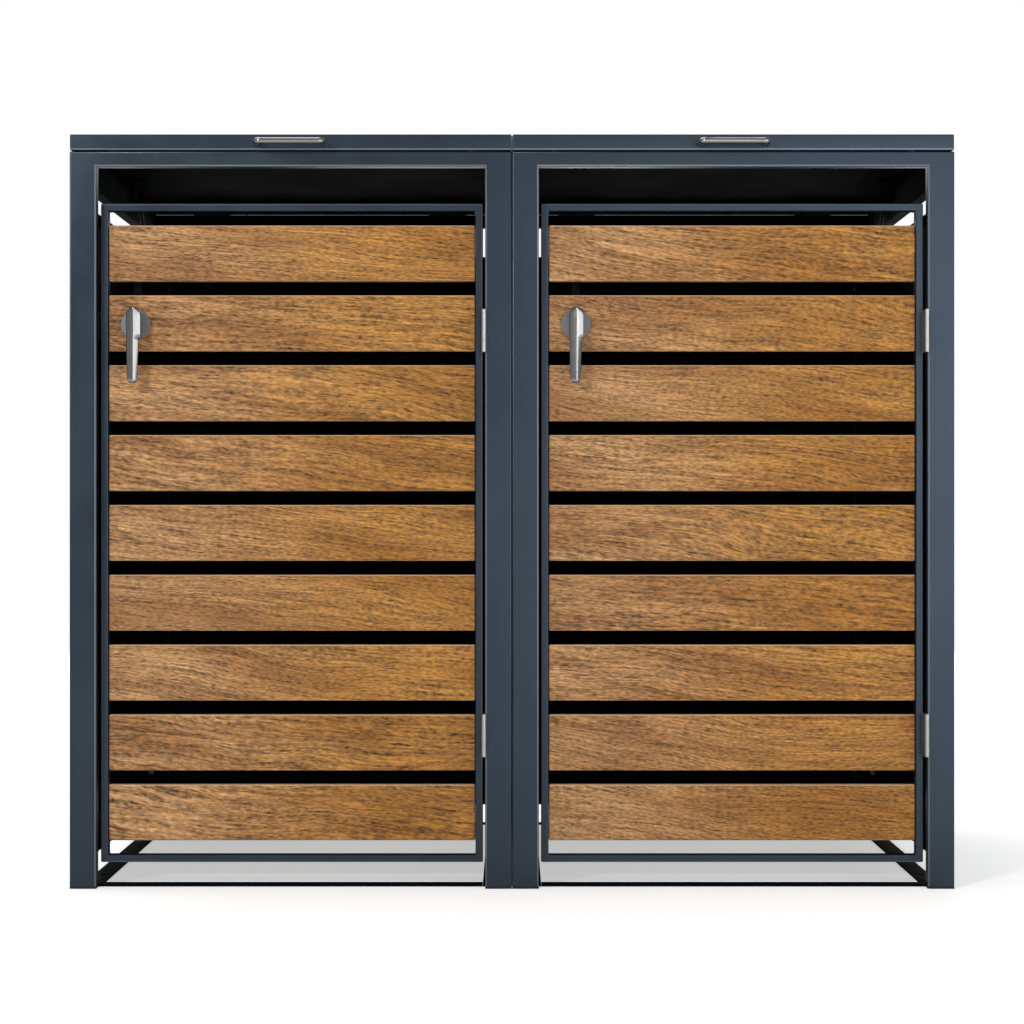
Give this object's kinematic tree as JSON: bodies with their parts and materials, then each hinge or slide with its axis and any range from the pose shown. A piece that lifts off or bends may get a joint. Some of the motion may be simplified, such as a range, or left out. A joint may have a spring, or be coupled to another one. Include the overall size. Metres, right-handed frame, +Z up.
{
  "type": "wheelie bin enclosure",
  "caption": "Steel-framed wheelie bin store with slatted wooden doors, rear-hinged sheet lids on gas struts, lever latches and bow handles.",
  "frame": {"origin": "on the ground, below the centre of the object's bounding box", "axes": "+X along the front to the viewer's right, +Y from the doors to the rear, +Z up"},
  "size_m": [1.3606, 0.8432, 1.16],
  "materials": {
    "anthracite_coat": "fine-textured satin powder coat",
    "black_coat": "satin black powder coat",
    "oak_slats": "oiled oak, fine horizontal grain",
    "handle_steel": "polished to satin stainless steel",
    "rosette_steel": "matt brushed stainless steel",
    "stainless": "bright rolled stainless steel",
    "nitrided_rods": "black nitrided, ground steel",
    "black_plastic": "moulded polyethylene",
    "buffer_rubber": "matt rubber"
  },
  "bodies": {
    "root": {"side_rails": "anthracite_coat", "base_bars": "black_coat", "inner_side_panels": "anthracite_coat", "rear_panels": "anthracite_coat", "foot_plugs": "black_plastic", "frame_fasteners": "stainless", "door_hinge_frame_leaves": "stainless", "lid_hinge_frame_leaves": "stainless", "hinge_pins": "stainless", "strut_frame_brackets": "black_coat", "lid_buffers": "buffer_rubber", "latch_strikes": "anthracite_coat", "left_front_frame": "anthracite_coat", "left_rear_frame": "anthracite_coat", "left_outer_side_panel": "anthracite_coat", "right_front_frame": "anthracite_coat", "right_rear_frame": "anthracite_coat", "right_outer_side_panel": "anthracite_coat"},
    "left_door": {"left_door_frame": "anthracite_coat", "left_door_hinge_leaves": "stainless", "left_slat_screws": "stainless", "left_lever_rosette": "rosette_steel", "left_slat_1": "oak_slats", "left_slat_2": "oak_slats", "left_slat_3": "oak_slats", "left_slat_4": "oak_slats", "left_slat_5": "oak_slats", "left_slat_6": "oak_slats", "left_slat_7": "oak_slats", "left_slat_8": "oak_slats", "left_slat_9": "oak_slats"},
    "left_lever": {"left_lever_handle": "handle_steel", "left_latch_tongue": "black_coat"},
    "left_lid": {"left_lid_shell": "anthracite_coat", "left_bow_handle": "handle_steel", "left_lid_hinge_leaves": "stainless", "left_strut_lid_brackets": "black_coat"},
    "left_strut_cylinder": {"left_strut_cylinders": "black_coat"},
    "left_strut_rod": {"left_strut_rods": "nitrided_rods"},
    "right_door": {"right_door_frame": "anthracite_coat", "right_door_hinge_leaves": "stainless", "right_slat_screws": "stainless", "right_lever_rosette": "rosette_steel", "right_slat_1": "oak_slats", "right_slat_2": "oak_slats", "right_slat_3": "oak_slats", "right_slat_4": "oak_slats", "right_slat_5": "oak_slats", "right_slat_6": "oak_slats", "right_slat_7": "oak_slats", "right_slat_8": "oak_slats", "right_slat_9": "oak_slats"},
    "right_lever": {"right_lever_handle": "handle_steel", "right_latch_tongue": "black_coat"},
    "right_lid": {"right_lid_shell": "anthracite_coat", "right_bow_handle": "handle_steel", "right_lid_hinge_leaves": "stainless", "right_strut_lid_brackets": "black_coat"},
    "right_strut_cylinder": {"right_strut_cylinders": "black_coat"},
    "right_strut_rod": {"right_strut_rods": "nitrided_rods"}
  },
  "joints": [
    {"name": "left_door_hinge", "type": "hinge", "parent": "root", "child": "left_door", "pos_m": [-0.04315, -0.39065, 0.547], "axis": [0, 0, 1], "range_deg": [0, 165]},
    {"name": "left_lever_turn", "type": "hinge", "parent": "left_door", "child": "left_lever", "pos_m": [-0.5816, -0.36215, 0.86895], "axis": [0, -1, 0], "range_deg": [0, 90]},
    {"name": "left_lid_hinge", "type": "hinge", "parent": "root", "child": "left_lid", "pos_m": [-0.3403, 0.41765, 1.13475], "axis": [-1, 0, 0], "range_deg": [0, 75]},
    {"name": "left_strut_cylinder_pivot", "type": "hinge", "parent": "root", "child": "left_strut_cylinder", "pos_m": [-0.3403, 0.3702, 0.83853], "axis": [-1, 0, 0], "range_deg": [0, 37.5]},
    {"name": "left_strut_rod_pivot", "type": "hinge", "parent": "left_lid", "child": "left_strut_rod", "pos_m": [-0.3403, 0.11803, 1.11957], "axis": [-1, 0, 0], "range_deg": [-37.5, 0]},
    {"name": "right_door_hinge", "type": "hinge", "parent": "root", "child": "right_door", "pos_m": [0.63745, -0.39065, 0.547], "axis": [0, 0, 1], "range_deg": [0, 165]},
    {"name": "right_lever_turn", "type": "hinge", "parent": "right_door", "child": "right_lever", "pos_m": [0.099, -0.36215, 0.86895], "axis": [0, -1, 0], "range_deg": [0, 90]},
    {"name": "right_lid_hinge", "type": "hinge", "parent": "root", "child": "right_lid", "pos_m": [0.3403, 0.41765, 1.13475], "axis": [-1, 0, 0], "range_deg": [0, 75]},
    {"name": "right_strut_cylinder_pivot", "type": "hinge", "parent": "root", "child": "right_strut_cylinder", "pos_m": [0.3403, 0.3702, 0.83853], "axis": [-1, 0, 0], "range_deg": [0, 37.5]},
    {"name": "right_strut_rod_pivot", "type": "hinge", "parent": "right_lid", "child": "right_strut_rod", "pos_m": [0.3403, 0.11803, 1.11957], "axis": [-1, 0, 0], "range_deg": [-37.5, 0]}
  ],
  "couplings": [
    {"joint": "left_strut_cylinder_pivot", "follows": "left_lid_hinge", "ratio": 0.5},
    {"joint": "left_strut_rod_pivot", "follows": "left_lid_hinge", "ratio": -0.5},
    {"joint": "right_strut_cylinder_pivot", "follows": "right_lid_hinge", "ratio": 0.5},
    {"joint": "right_strut_rod_pivot", "follows": "right_lid_hinge", "ratio": -0.5}
  ]
}
